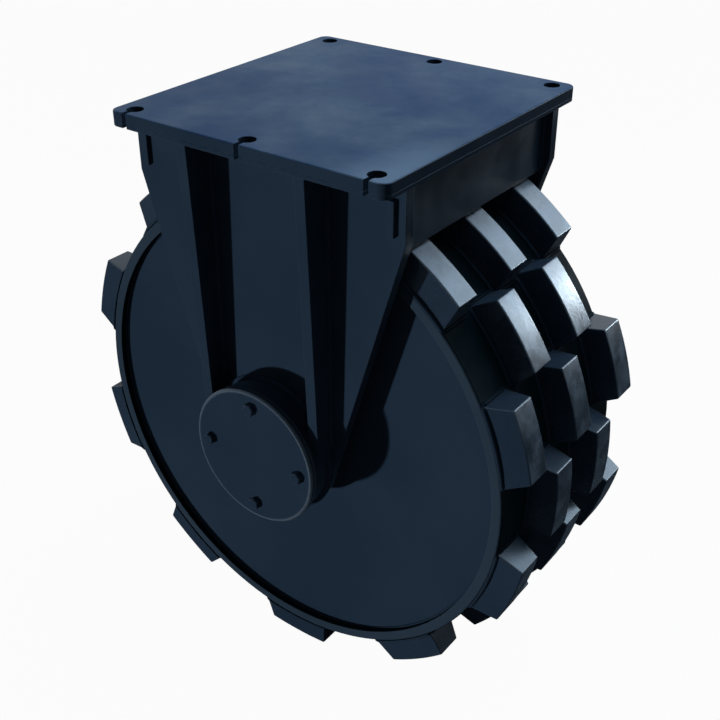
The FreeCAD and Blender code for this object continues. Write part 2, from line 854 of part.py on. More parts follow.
# Checks, then one file for each piece
def check_and_write():
    doc.recompute()
    for item in doc.Objects:
        if "Invalid" in item.State or "Error" in item.State:
            raise RuntimeError("%s failed to build" % item.Label)
    for node in NODES:
        if node.Shape.isNull() or not node.Shape.isValid() or not node.Shape.Solids:
            raise RuntimeError("%s has no sound shape" % node.Label)
    os.makedirs("parts", exist_ok=True)
    for node in NODES:
        node.Shape.exportStep("parts/%s.step" % node.Label)
    print("%d pieces written" % len(NODES))


check_and_write()
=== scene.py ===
"""Looks of a padfoot compaction wheel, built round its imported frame. Metres, Z up.

The bracket stands still and bolts to an arm by its top plate. The drum turns in
it on the line through AXLE, along Y. The front side of everything is at -Y.
"""

import json
import logging
import math
from dataclasses import dataclass, field
from enum import Enum
from typing import Callable, Sequence

import bmesh
import bpy
from mathutils import Matrix, Vector, noise


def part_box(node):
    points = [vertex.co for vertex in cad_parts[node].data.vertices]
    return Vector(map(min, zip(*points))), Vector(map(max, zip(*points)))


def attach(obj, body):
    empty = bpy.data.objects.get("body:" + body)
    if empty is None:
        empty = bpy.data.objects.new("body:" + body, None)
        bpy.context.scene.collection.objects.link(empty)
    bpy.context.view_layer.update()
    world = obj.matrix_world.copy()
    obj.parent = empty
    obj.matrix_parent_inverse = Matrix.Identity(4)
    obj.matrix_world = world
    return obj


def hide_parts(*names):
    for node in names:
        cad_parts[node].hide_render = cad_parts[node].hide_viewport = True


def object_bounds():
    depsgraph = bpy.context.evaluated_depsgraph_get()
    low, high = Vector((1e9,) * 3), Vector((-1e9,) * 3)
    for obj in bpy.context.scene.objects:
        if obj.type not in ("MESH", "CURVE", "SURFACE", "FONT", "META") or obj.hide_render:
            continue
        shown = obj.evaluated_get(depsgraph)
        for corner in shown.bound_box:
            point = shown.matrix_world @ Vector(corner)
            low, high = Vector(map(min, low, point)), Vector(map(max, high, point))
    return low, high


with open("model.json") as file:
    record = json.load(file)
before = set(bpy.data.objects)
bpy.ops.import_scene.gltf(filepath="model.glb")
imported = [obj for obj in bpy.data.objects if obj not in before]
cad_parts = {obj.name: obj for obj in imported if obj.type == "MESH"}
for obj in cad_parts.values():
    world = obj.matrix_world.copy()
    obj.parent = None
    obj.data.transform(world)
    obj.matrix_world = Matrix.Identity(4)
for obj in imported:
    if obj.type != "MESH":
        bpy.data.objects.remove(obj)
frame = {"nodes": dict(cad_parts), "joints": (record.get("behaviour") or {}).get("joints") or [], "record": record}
CAD_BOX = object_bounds()

log = logging.getLogger("padfoot_wheel")
logging.basicConfig(level=logging.INFO, format="%(message)s")

Triple = tuple[float, float, float]
Colour = Triple
Socket = bpy.types.NodeSocket
Mesh = bmesh.types.BMesh
AXLE = Vector(frame["joints"][0]["pos_m"])
WHEEL = "wheel"
BRACKET = "bracket"


class Side(Enum):
    """The two ends of the axle, with the way along Y that each one faces."""

    FRONT = -1
    REAR = 1

    def node(self, name: str) -> str:
        """The name of this side's frame node."""
        return f"{self.name.lower()}_{name}"


class Slot(Enum):
    """The record's material slots."""

    PAINT = "dark_paint"
    STEEL = "bearing_steel"
    BRASS = "cage_brass"
    RUBBER = "seal_rubber"
    GASKET = "gasket_sheet"


# Shader building

@dataclass(frozen=True)
class Pattern:
    """A noise, and the stretch of its values that is spread out.

    Attributes:
        scale: Cycles per metre.
        detail: Octaves.
        rough: Share of the finer octaves.
        low: The value at which the stretch starts.
        high: The value at which it ends.
    """

    scale: float
    detail: float
    rough: float = 0.5
    low: float = 0.3
    high: float = 0.7


class Sketch:
    """A material under construction, with a short call for each kind of node.

    A mask is 1 on the faces that it names and 0 elsewhere. The pairs below are
    the parts or cosines of a normal between which a mask goes from 0 to 1.
    """

    LEVEL = (0.25, 0.95)
    ROLLING = (0.75, 0.35)
    OUTWARD = (0.85, 0.98)
    EDGE_START = 0.05
    EDGE_SAMPLES = 6
    RAGGED = Pattern(14.0, 3.0)

    def __init__(self, name: str) -> None:
        """Starts an empty material of this name."""
        self.material = bpy.data.materials.new(name)
        self.material.use_nodes = True
        self.tree = self.material.node_tree
        self.shader = self.tree.nodes["Principled BSDF"]
        coordinates = self.add("ShaderNodeTexCoord")
        self.place = coordinates.outputs["Object"]
        self.facing = coordinates.outputs["Normal"]

    def add(self, kind: str, **settings: object) -> bpy.types.Node:
        """Adds a node of this kind, sets its properties and returns it."""
        node = self.tree.nodes.new(kind)
        for key, setting in settings.items():
            setattr(node, key, setting)
        return node

    def feed(self, socket: Socket, source: object) -> None:
        """Links a socket to another, or writes a number, a colour or a vector on it."""
        if isinstance(source, bpy.types.NodeSocket):
            self.tree.links.new(source, socket)
        elif isinstance(source, tuple) and len(socket.default_value) == 4:
            socket.default_value = (*source, 1.0)
        else:
            socket.default_value = source

    def put(self, name: str, source: object) -> None:
        """Feeds one of the main shader's sockets by its name."""
        self.feed(self.shader.inputs[name], source)

    def noise(self, pattern: Pattern, stretch: Triple = (1.0, 1.0, 1.0)) -> Socket:
        """A noise in the piece's own space, squeezed along X, Y and Z, 0.5 on average."""
        mapping = self.add("ShaderNodeMapping")
        self.feed(mapping.inputs["Vector"], self.place)
        self.feed(mapping.inputs["Scale"], Vector(stretch))
        node = self.add("ShaderNodeTexNoise")
        self.feed(node.inputs["Vector"], mapping.outputs["Vector"])
        self.feed(node.inputs["Scale"], pattern.scale)
        self.feed(node.inputs["Detail"], pattern.detail)
        self.feed(node.inputs["Roughness"], pattern.rough)
        return node.outputs["Fac"]

    def span(self, source: Socket, low: float, high: float,
             start: float = 0.0, end: float = 1.0) -> Socket:
        """Eases a value from start to end as the source goes from low to high.

        Args:
            source: What it depends on.
            low: The source's value at the start.
            high: The source's value at the end.
            start: The result up to there.
            end: The result from there on.

        Returns:
            The eased value.
        """
        node = self.add("ShaderNodeMapRange", interpolation_type="SMOOTHSTEP")
        for name, given in (("Value", source), ("From Min", low), ("From Max", high),
                            ("To Min", start), ("To Max", end)):
            self.feed(node.inputs[name], given)
        return node.outputs["Result"]

    def spread(self, pattern: Pattern, start: float = 0.0, end: float = 1.0) -> Socket:
        """A pattern, spread out between two values."""
        return self.span(self.noise(pattern), pattern.low, pattern.high, start, end)

    def combine(self, how: str, one: object, other: object) -> Socket:
        """Works out one value from two by the named operation."""
        node = self.add("ShaderNodeMath", operation=how)
        self.feed(node.inputs[0], one)
        self.feed(node.inputs[1], other)
        return node.outputs["Value"]

    def vector(self, how: str, one: object, other: object = None) -> bpy.types.Node:
        """Works out a vector, or a number, from one or two vectors.

        The result is on the node's Vector or its Value.
        """
        node = self.add("ShaderNodeVectorMath", operation=how)
        self.feed(node.inputs[0], one)
        if other is not None:
            self.feed(node.inputs[1], other)
        return node

    def blend(self, share: object, one: object, other: object) -> Socket:
        """A colour between two others, with this share of the second one."""
        # The node has its colours on inputs 6 and 7 and output 2.
        node = self.add("ShaderNodeMix", data_type="RGBA")
        self.feed(node.inputs[0], share)
        self.feed(node.inputs[6], one)
        self.feed(node.inputs[7], other)
        return node.outputs[2]

    def normal(self) -> Socket:
        """The face's normal in the world, bent by nothing."""
        return self.add("ShaderNodeNewGeometry").outputs["Normal"]

    def normal_along(self, axis: str) -> Socket:
        """The part of the face's normal along a world axis."""
        split = self.add("ShaderNodeSeparateXYZ")
        self.feed(split.inputs[0], self.normal())
        return split.outputs[axis]

    def upward(self) -> Socket:
        """The mask of level faces that look up."""
        return self.span(self.normal_along("Z"), *self.LEVEL)

    def rolling(self) -> Socket:
        """The mask of faces that don't look along the axle."""
        return self.span(self.combine("ABSOLUTE", self.normal_along("Y"), 0.0), *self.ROLLING)

    def outward(self, centre: Vector) -> Socket:
        """The mask of faces that look straight away from a line along Y.

        It is 0 on the flanks of what stands on a drum.
        """
        spoke = self.vector("SUBTRACT", self.place, centre)
        flat = self.vector("MULTIPLY", spoke.outputs["Vector"], Vector((1.0, 0.0, 1.0)))
        unit = self.vector("NORMALIZE", flat.outputs["Vector"])
        cosine = self.vector("DOT_PRODUCT", unit.outputs["Vector"], self.facing)
        return self.span(cosine.outputs["Value"], *self.OUTWARD)

    def near(self, spot: Triple, core: float, reach: float, squeeze: Triple,
             ragged: float) -> Socket:
        """1 round a spot, fading to 0 at a distance.

        Args:
            spot: The place, in the piece's own space.
            core: Out to where it is 1, in metres.
            reach: Where it has faded to 0, in metres.
            squeeze: What distances count along X, Y and Z.
            ragged: How far its outline wanders, in metres.

        Returns:
            The fading value.
        """
        shifted = self.vector("SUBTRACT", self.place, Vector(spot))
        squeezed = self.vector("MULTIPLY", shifted.outputs["Vector"], Vector(squeeze))
        distance = self.vector("LENGTH", squeezed.outputs["Vector"])
        wander = self.combine("MULTIPLY", self.noise(self.RAGGED), ragged)
        away = self.combine("ADD", distance.outputs["Value"], wander)
        return self.span(away, core, reach, 1.0, 0.0)

    def edges(self, reach: float, full: float) -> Socket:
        """The mask of outer edges.

        Args:
            reach: How far from an edge it shows, in metres.
            full: Cosine of the bend at which it is 1; nearer to 1 is wider.

        Returns:
            The mask, which is 0 on open faces.
        """
        soft = self.add("ShaderNodeBevel", samples=self.EDGE_SAMPLES)
        self.feed(soft.inputs["Radius"], reach)
        cosine = self.vector("DOT_PRODUCT", soft.outputs["Normal"], self.normal())
        start = 1.0 - self.EDGE_START * (1.0 - full)
        return self.span(cosine.outputs["Value"], start, full)

    def bump(self, height: Socket, depth: float, under: Socket | None = None) -> Socket:
        """A normal bumped by a height from 0 to 1, of a depth in metres, over another one."""
        node = self.add("ShaderNodeBump")
        self.feed(node.inputs["Distance"], depth)
        self.feed(node.inputs["Height"], height)
        if under is not None:
            self.feed(node.inputs["Normal"], under)
        return node.outputs["Normal"]


# Finishes

@dataclass(frozen=True)
class PaintFinish:
    """Blue-black machine paint: cloudy, faintly orange-peeled, rubbed at edges.

    Five coats lie over the base colour, which drifts from deep to light: a
    painted sky sheen on level faces, a painted highlight round one spot, scuffs
    with a painted cloudy sheen on the faces that roll on the ground, painted shade
    between the pads, and rubbed edges that also carry painted edge highlights. The
    strength of each goes from 0, where there is none, to 1. Lengths and depths are
    in metres.
    """

    name: str
    deep: Colour = (0.0125, 0.0235, 0.0400)
    light: Colour = (0.0160, 0.0285, 0.0470)
    cloud: Pattern = Pattern(3.1, 3.0, 0.55)
    # A painted sky sheen: a cloudy bluish reflection laid as colour on level faces.
    sheen_deep: Colour = (0.018, 0.050, 0.116)
    sheen_bright: Colour = (0.062, 0.106, 0.168)
    sheen_share: float = 0.30
    sheen_clouds: Pattern = Pattern(3.4, 5.0, 0.62, 0.38, 0.74)
    # A painted highlight: a light patch on level faces round one spot, by the plate's front right corner.
    corner_highlight: float = 0.0
    corner_highlight_colour: Colour = (0.150, 0.235, 0.340)
    corner_highlight_spot: Triple = (0.300, -0.315, 0.0)
    corner_highlight_core: float = 0.025
    corner_highlight_reach: float = 0.15
    corner_highlight_squeeze: Triple = (1.0, 0.45, 1.0)
    corner_highlight_ragged: float = 0.05
    # Scuffs on the pad tips, whose light bluish patches are also a painted cloudy reflection.
    scuff_and_sheen: float = 0.0
    scuff_and_sheen_colour: Colour = (0.120, 0.172, 0.235)
    scuff_and_sheen_patches: Pattern = Pattern(22.0, 3.0, 0.5, 0.36, 0.70)
    # Painted shade: near black on the faces between the pads, thinner in patches.
    pad_gap_shade: float = 0.0
    pad_gap_shade_colour: Colour = (0.0012, 0.0044, 0.0066)
    pad_gap_shade_patches: Pattern = Pattern(7.0, 4.0, 0.5, 0.2, 0.5)
    pad_gap_shade_thinnest: float = 0.8
    # Rubbed edges, whose lighter colour is also a painted edge highlight.
    edge_wear_and_highlight: float = 0.45
    edge_wear_and_highlight_colour: Colour = (0.065, 0.085, 0.110)
    edge_reach: float = 0.0035
    edge_full: float = 0.9
    edge_breaks: float = 1.0
    edge_specks: Pattern = Pattern(95.0, 4.0, 0.6, 0.42, 0.62)
    roughness: float = 0.34
    smoother: float = 0.05
    rougher: float = 0.09
    smears: Pattern = Pattern(11.0, 4.0, 0.6, 0.3, 0.75)
    gloss: float = 0.12
    gloss_tint: Colour = (0.62, 0.82, 1.0)
    peel: float = 0.00006
    peel_grain: Pattern = Pattern(420.0, 2.0)
    cast: float = 0.0
    cast_grain: Pattern = Pattern(60.0, 3.0, 0.65)

    def build(self) -> bpy.types.Material:
        """Builds the paint and returns the material."""
        sketch = Sketch(self.name)
        colour = sketch.blend(sketch.spread(self.cloud), self.deep, self.light)
        # The painted sky sheen's own cloudy colour.
        sheen_clouds = sketch.blend(sketch.spread(self.sheen_clouds), self.sheen_deep, self.sheen_bright)
        # Coats: painted sky sheen on level faces, a painted highlight round one spot, scuffs with a painted sheen
        # on the pad tips, painted shade between the pads, and rubbed edges with painted edge highlights.
        coats = (
            (Sketch.upward, self.sheen_share, sheen_clouds),
            (self._corner_highlight_mask, self.corner_highlight, self.corner_highlight_colour),
            (self._scuff_and_sheen_mask, self.scuff_and_sheen, self.scuff_and_sheen_colour),
            (self._pad_gap_shade_mask, self.pad_gap_shade, self.pad_gap_shade_colour),
            (self._edge_wear_and_highlight_mask, self.edge_wear_and_highlight, self.edge_wear_and_highlight_colour),
        )
        for mask, strength, coat in coats:
            if strength:
                share = sketch.combine("MULTIPLY", mask(sketch), strength)
                colour = sketch.blend(share, colour, coat)
        sketch.put("Base Color", colour)
        sketch.put("Roughness", sketch.spread(self.smears, self.roughness - self.smoother,
                                              self.roughness + self.rougher))
        sketch.put("Specular IOR Level", self.gloss)
        sketch.put("Specular Tint", self.gloss_tint)
        normal = sketch.bump(sketch.noise(self.peel_grain), self.peel)
        if self.cast:
            normal = sketch.bump(sketch.noise(self.cast_grain), self.cast, normal)
        sketch.put("Normal", normal)
        return sketch.material

    def _corner_highlight_mask(self, sketch: Sketch) -> Socket:
        """The level faces round one spot."""
        # Where the painted highlight lies.
        patch = sketch.near(self.corner_highlight_spot, self.corner_highlight_core, self.corner_highlight_reach, self.corner_highlight_squeeze,
                            self.corner_highlight_ragged)
        return sketch.combine("MULTIPLY", patch, sketch.upward())

    def _scuff_and_sheen_mask(self, sketch: Sketch) -> Socket:
        """Patches of the faces that roll on the ground."""
        # Scuffs with a painted sheen, on the faces that look away from the axle.
        return sketch.combine("MULTIPLY", sketch.spread(self.scuff_and_sheen_patches), sketch.outward(AXLE))

    def _pad_gap_shade_mask(self, sketch: Sketch) -> Socket:
        """The faces between the pads, thinner in patches."""
        # The painted shade between the pads.
        patches = sketch.spread(self.pad_gap_shade_patches, self.pad_gap_shade_thinnest)
        return sketch.combine("MULTIPLY", sketch.rolling(), patches)

    def _edge_wear_and_highlight_mask(self, sketch: Sketch) -> Socket:
        """Outer edges, broken up by specks."""
        # Rubbed edges with a painted edge highlight, broken up by specks.
        specks = sketch.spread(self.edge_specks, 1.0 - self.edge_breaks)
        return sketch.combine("MULTIPLY", sketch.edges(self.edge_reach, self.edge_full), specks)


@dataclass(frozen=True)
class MetalFinish:
    """Bare machined metal with fine turning marks."""

    name: str
    colour: Colour
    tarnish: Colour
    roughness: float = 0.28
    rougher: float = 0.14
    mark_depth: float = 0.00003
    mark_stretch: Triple = (0.1, 1.0, 0.1)
    marks: Pattern = Pattern(900.0, 1.0)
    stains: Pattern = Pattern(24.0, 4.0, 0.5, 0.4, 0.7)
    smears: Pattern = Pattern(60.0, 3.0)

    def build(self) -> bpy.types.Material:
        """Builds the metal and returns the material."""
        sketch = Sketch(self.name)
        stains = sketch.spread(self.stains)
        sketch.put("Base Color", sketch.blend(stains, self.colour, self.tarnish))
        sketch.put("Metallic", 1.0)
        sketch.put("Roughness", sketch.spread(self.smears, self.roughness,
                                              self.roughness + self.rougher))
        turned = sketch.noise(self.marks, self.mark_stretch)
        sketch.put("Normal", sketch.bump(turned, self.mark_depth))
        return sketch.material


@dataclass(frozen=True)
class SoftFinish:
    """Matt rubber or fibre sheet with a fine grain."""

    name: str
    colour: Colour
    faded: Colour
    grain: Pattern = Pattern(700.0, 2.0)
    grain_depth: float = 0.00008
    roughness: float = 0.62
    rougher: float = 0.18
    fading: Pattern = Pattern(35.0, 3.0, 0.5, 0.35, 0.7)
    smears: Pattern = Pattern(90.0, 2.0)

    def build(self) -> bpy.types.Material:
        """Builds the rubber or sheet and returns the material."""
        sketch = Sketch(self.name)
        sketch.put("Base Color", sketch.blend(sketch.spread(self.fading), self.colour, self.faded))
        sketch.put("Roughness", sketch.spread(self.smears, self.roughness,
                                              self.roughness + self.rougher))
        sketch.put("Normal", sketch.bump(sketch.noise(self.grain), self.grain_depth))
        return sketch.material


class Finishes:
    """Every finish of the object, each built once."""

    def __init__(self) -> None:
        """Builds the materials."""
        # The plate's top is mostly painted sky sheen, with a painted highlight by its front right corner.
        self.plate = PaintFinish("plate_paint", sheen_share=0.95, gloss=0.015, corner_highlight=0.55).build()
        # The fork, cover and weld paints keep the default share of painted sky sheen on level faces.
        self.fork = PaintFinish("fork_paint").build()
        # The cover's edge coat is an even light ring: a painted highlight on its chamfer, with little wear.
        self.cover = PaintFinish(
            "cover_paint", edge_wear_and_highlight=1.0, edge_reach=0.008, edge_full=0.985, edge_breaks=0.15,
            edge_wear_and_highlight_colour=(0.092, 0.122, 0.155),
        ).build()
        # Painted shade darkens the drum's rolling faces between the pads.
        self.drum = PaintFinish(
            "drum_paint", sheen_share=0.0, roughness=0.55, gloss=0.04, pad_gap_shade=1.0,
        ).build()
        # Shell paint is lighter than the rest: painted light on the rim's end faces, with painted shade on its
        # rolling face.
        self.shell = PaintFinish(
            "shell_paint", deep=(0.0185, 0.0320, 0.0480), light=(0.0225, 0.0370, 0.0550),
            sheen_share=0.0, roughness=0.55, gloss=0.015, pad_gap_shade=1.0,
        ).build()
        # Pad tips carry scuffs with a painted cloudy sheen.
        self.pad = PaintFinish(
            "pad_paint", sheen_share=0.0, edge_wear_and_highlight=0.12, roughness=0.27, gloss=0.42, cast=0.0002,
            scuff_and_sheen=0.55,
        ).build()
        self.weld = PaintFinish(
            "weld_paint", edge_wear_and_highlight=0.0, roughness=0.6, gloss=0.02, cast=0.0005,
        ).build()
        # Beads on the drum, darkened by painted shade like the faces between the pads.
        self.drum_weld = PaintFinish(
            "drum_weld_paint", sheen_share=0.0, edge_wear_and_highlight=0.0, roughness=0.6, gloss=0.02, cast=0.0005,
            pad_gap_shade=0.9,
        ).build()
        self.slots: dict[Slot, bpy.types.Material] = {
            Slot.PAINT: self.fork,
            Slot.STEEL: MetalFinish("ground_steel", (0.52, 0.53, 0.55), (0.34, 0.34, 0.35)).build(),
            Slot.BRASS: MetalFinish("cage_brass_turned", (0.60, 0.46, 0.22), (0.42, 0.31, 0.15),
                                    roughness=0.34).build(),
            Slot.RUBBER: SoftFinish("seal_rubber_black", (0.022, 0.022, 0.024),
                                    (0.045, 0.045, 0.047)).build(),
            Slot.GASKET: SoftFinish("gasket_fibre", (0.018, 0.020, 0.022), (0.030, 0.031, 0.032),
                                    grain=Pattern(1200.0, 2.0)).build(),
        }

    def dress(self, node: str, material: bpy.types.Material) -> None:
        """Gives a frame node one material."""
        item = frame["nodes"][node]
        item.data.materials.clear()
        item.data.materials.append(material)
        log.info("dressed %s in %s", node, material.name)


# Mesh building

@dataclass(frozen=True)
class SoftEdges:
    """The small round that cutting, grinding and paint leave on a sharp edge.

    Attributes:
        radius: The round's width, in metres.
        steps: Faces across the round.
        merge: How near two corners are that are joined, in metres.
        flat: The turn up to which two faces count as one, in degrees.
        sharp: The turn from which an edge is rounded, in degrees.
        evenness: How much large faces rule the shading.
    """

    radius: float
    steps: int = 3
    merge: float = 0.00002
    flat: float = 0.4
    sharp: float = 28.0
    evenness: int = 60

    def put_on(self, item: bpy.types.Object) -> None:
        """Rounds an object's sharp edges with modifiers, which leave its mesh as it is."""
        weld = item.modifiers.new("join", "WELD")
        weld.merge_threshold = self.merge
        flat = item.modifiers.new("flatten", "DECIMATE")
        flat.decimate_type = "DISSOLVE"
        flat.angle_limit = math.radians(self.flat)
        bevel = item.modifiers.new("soften", "BEVEL")
        bevel.width = self.radius
        bevel.segments = self.steps
        bevel.limit_method = "ANGLE"
        bevel.angle_limit = math.radians(self.sharp)
        bevel.use_clamp_overlap = True
        bevel.miter_outer = "MITER_ARC"
        even = item.modifiers.new("shade", "WEIGHTED_NORMAL")
        even.weight = self.evenness


def new_piece(name: str, mesh: Mesh, body: str, material: bpy.types.Material,
              smooth: bool = True) -> bpy.types.Object:
    """Turns a built mesh into a piece that rides on a body.

    Args:
        name: The piece's name.
        mesh: What it is made of; it is freed here.
        body: The frame body it moves with.
        material: Its material.
        smooth: Whether its faces are shaded smooth.

    Returns:
        The new object.
    """
    bmesh.ops.recalc_face_normals(mesh, faces=mesh.faces)
    for face in mesh.faces:
        face.smooth = smooth
    data = bpy.data.meshes.new(name)
    mesh.to_mesh(data)
    mesh.free()
    data.materials.append(material)
    item = bpy.data.objects.new(name, data)
    bpy.context.scene.collection.objects.link(item)
    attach(item, body)
    log.info("made %s with %d faces on %s", name, len(data.polygons), body)
    return item


def outer_face(side: Side, name: str) -> float:
    """Where the outer face of one of a side's nodes lies along Y."""
    low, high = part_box(side.node(name))
    return low.y if side is Side.FRONT else high.y


def radius_of(node: str) -> float:
    """The radius of a round node."""
    low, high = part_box(node)
    return (high.x - low.x) / 2


def spoke(turn: float) -> Vector:
    """The direction across the axle at a turn in radians, from +X towards +Z."""
    return Vector((math.cos(turn), 0, math.sin(turn)))


def bridge(mesh: Mesh, one: Sequence[bmesh.types.BMVert],
           other: Sequence[bmesh.types.BMVert]) -> None:
    """Joins two rings of as many corners, listed in the same order, with faces."""
    for index in range(len(one)):
        after = (index + 1) % len(one)
        mesh.faces.new((one[index], one[after], other[after], other[index]))


@dataclass(frozen=True)
class WeldBead:
    """A fillet weld in the corner of two walls, rippled as a welder leaves it.

    Attributes:
        leg: How far it reaches along each wall, in metres.
        pitch: The length of one ripple, in metres.
        ripple: How far a ripple swells, as a share of the leg.
        bulge: How far the bead swells between ripples, as a share of the leg.
        lag: How far a ripple's middle trails behind its ends, in ripples.
        wander: How much the leg varies, as a share of it.
        wander_scale: How often the leg varies, in cycles per metre.
        root: How deep the bead starts in the corner, in metres.
        thin_end: How full it is at a free end.
        fewest: Ripples in the shortest bead.
        steps_per_ripple: Sections in one ripple.
        arc_steps: Faces from wall to wall.
    """

    leg: float
    pitch: float = 0.0065
    ripple: float = 0.13
    bulge: float = 0.16
    lag: float = 0.5
    wander: float = 0.08
    wander_scale: float = 45.0
    root: float = 0.0004
    thin_end: float = 0.45
    fewest: int = 3
    steps_per_ripple: int = 3
    arc_steps: int = 5

    def lay(self, mesh: Mesh, path: Callable[[float], Vector], length: float,
            walls: Callable[[float], tuple[Vector, Vector]], closed: bool = False) -> None:
        """Lays one bead.

        Args:
            mesh: The mesh that it is added to.
            path: The corner's line, for a share of its length from 0 to 1.
            length: The line's length in metres.
            walls: The directions along both walls, away from the corner.
            closed: Whether the line ends where it starts.
        """
        ripples = max(self.fewest, round(length / self.pitch))
        count = ripples * self.steps_per_ripple
        rings = []
        for step in range(count if closed else count + 1):
            share = step / count
            fullness = 1.0 if closed else self._taper(share, length)
            rings.append(self._section(mesh, path(share), walls(share), share * ripples, fullness))
        for one, other in zip(rings, rings[1:]):
            bridge(mesh, one, other)
        if closed:
            bridge(mesh, rings[-1], rings[0])
        else:
            mesh.faces.new(rings[0])
            mesh.faces.new(tuple(reversed(rings[-1])))

    def lay_straight(self, mesh: Mesh, start: Vector, end: Vector,
                     walls: Sequence[Sequence[float]]) -> None:
        """Lays a bead along a straight corner, from its start to its end."""
        one, other = (Vector(wall).normalized() for wall in walls)
        self.lay(mesh, lambda share: start.lerp(end, share), (end - start).length,
                 lambda share: (one, other))

    def lay_round(self, mesh: Mesh, centre: Vector, radius: float, outward: int,
                  along: int) -> None:
        """Lays a bead round a circle about a line along Y.

        Args:
            mesh: The mesh that it is added to.
            centre: The circle's centre.
            radius: Its radius.
            outward: 1 if the flat wall lies outside the circle, -1 if inside.
            along: The way along Y that the round wall goes.
        """
        full_turn = 2 * math.pi
        self.lay(
            mesh,
            lambda share: centre + spoke(full_turn * share) * radius,
            full_turn * radius,
            lambda share: (spoke(full_turn * share) * outward, Vector((0, along, 0))),
            closed=True,
        )

    def _taper(self, share: float, length: float) -> float:
        """How full the bead is at a share of its length."""
        from_end = min(share, 1.0 - share) * length
        return self.thin_end + (1.0 - self.thin_end) * min(1.0, from_end / self.leg)

    def _section(self, mesh: Mesh, corner: Vector, walls: tuple[Vector, Vector], phase: float,
                 fullness: float) -> list[bmesh.types.BMVert]:
        """Adds one section: the root, then a bulging curve from wall to wall.

        Args:
            mesh: The mesh that it is added to.
            corner: Where the walls meet.
            walls: The directions along both walls.
            phase: How many ripples lie behind it.
            fullness: The share of the full leg that it has.

        Returns:
            The section's corners.
        """
        one, other = walls
        vary = self.wander * noise.noise(corner * self.wander_scale)
        leg = self.leg * fullness * (1.0 + vary)
        points = [corner - (one + other) * self.root]
        for step in range(self.arc_steps + 1):
            turn = step / self.arc_steps
            middle = math.sin(math.pi * turn)
            wave = abs(math.sin(math.pi * (phase - self.lag * middle)))
            reach = leg * (1.0 + middle * (self.bulge + self.ripple * wave))
            points.append(corner + one * (reach * (1.0 - turn)) + other * (reach * turn))
        return [mesh.verts.new(point) for point in points]


# Sub-assemblies

@dataclass
class Plates:
    """The bolted mounting plate and the cap plate welded under it."""

    finishes: Finishes
    edge: SoftEdges = SoftEdges(0.0014)

    def dress(self) -> None:
        """Softens and paints both plates."""
        for node in ("mounting_plate", "cap_plate"):
            self.finishes.dress(node, self.finishes.plate)
            self.edge.put_on(frame["nodes"][node])


@dataclass
class Fork:
    """Side plates, end panels and ribs, with the beads that join them.

    Attributes:
        finishes: The finishes to use.
        edge: The round on every plate's edges.
        bead: The bead in every corner.
        end_gap: How far a bead stays off a plate's edge, in metres.
        inner_rise: How much higher the housing ends a rib's inner flank, in metres.
    """

    finishes: Finishes
    edge: SoftEdges = SoftEdges(0.0016)
    bead: WeldBead = WeldBead(0.007)
    end_gap: float = 0.004
    inner_rise: float = 0.026

    def dress(self) -> None:
        """Softens and paints the plates of the fork, then lays the beads."""
        names = ["left_end_panel", "right_end_panel"]
        for side in Side:
            names += [side.node(name) for name in ("side_plate", "left_rib", "right_rib")]
        for node in names:
            self.finishes.dress(node, self.finishes.fork)
            self.edge.put_on(frame["nodes"][node])
        for side in Side:
            self._rib_welds(side)
            self._plate_weld(side)
        for name, way in (("left", -1), ("right", 1)):
            self._panel_welds(name, way)

    def _rib_welds(self, side: Side) -> None:
        """Lays beads down both flanks of each rib, on one side's plate."""
        mesh = bmesh.new()
        face = outer_face(side, "side_plate")
        for name in ("left_rib", "right_rib"):
            low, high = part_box(side.node(name))
            for x, way in ((low.x, -1), (high.x, 1)):
                rise = self.inner_rise if way * low.x < 0 else 0.0
                self.bead.lay_straight(mesh, Vector((x, face, high.z)),
                                       Vector((x, face, low.z + self.end_gap + rise)),
                                       ((way, 0, 0), (0, side.value, 0)))
        new_piece(side.node("rib_welds"), mesh, BRACKET, self.finishes.weld)

    def _plate_weld(self, side: Side) -> None:
        """Lays the bead under the cap plate, between the ribs of one side plate."""
        mesh = bmesh.new()
        low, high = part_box(side.node("side_plate"))
        face = outer_face(side, "side_plate")
        stops = [low.x + self.end_gap]
        for name in ("left_rib", "right_rib"):
            rib_low, rib_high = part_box(side.node(name))
            stops += [rib_low.x, rib_high.x]
        stops.append(high.x - self.end_gap)
        for begin, finish in zip(stops[0::2], stops[1::2]):
            self.bead.lay_straight(mesh, Vector((begin, face, high.z)),
                                   Vector((finish, face, high.z)),
                                   ((0, side.value, 0), (0, 0, -1)))
        new_piece(side.node("plate_weld"), mesh, BRACKET, self.finishes.weld)

    def _panel_welds(self, name: str, way: int) -> None:
        """Lays beads along the top and both ends of an end panel's outer face.

        The panel faces this way along X.
        """
        mesh = bmesh.new()
        low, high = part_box(f"{name}_end_panel")
        inner = -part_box("front_side_plate")[1].y
        x = high.x if way > 0 else low.x
        self.bead.lay_straight(mesh, Vector((x, -inner, high.z)), Vector((x, inner, high.z)),
                               ((way, 0, 0), (0, 0, -1)))
        for end in (-1, 1):
            self.bead.lay_straight(mesh, Vector((x, end * inner, high.z)),
                                   Vector((x, end * inner, low.z + self.end_gap)),
                                   ((way, 0, 0), (0, -end, 0)))
        new_piece(f"{name}_panel_welds", mesh, BRACKET, self.finishes.weld)


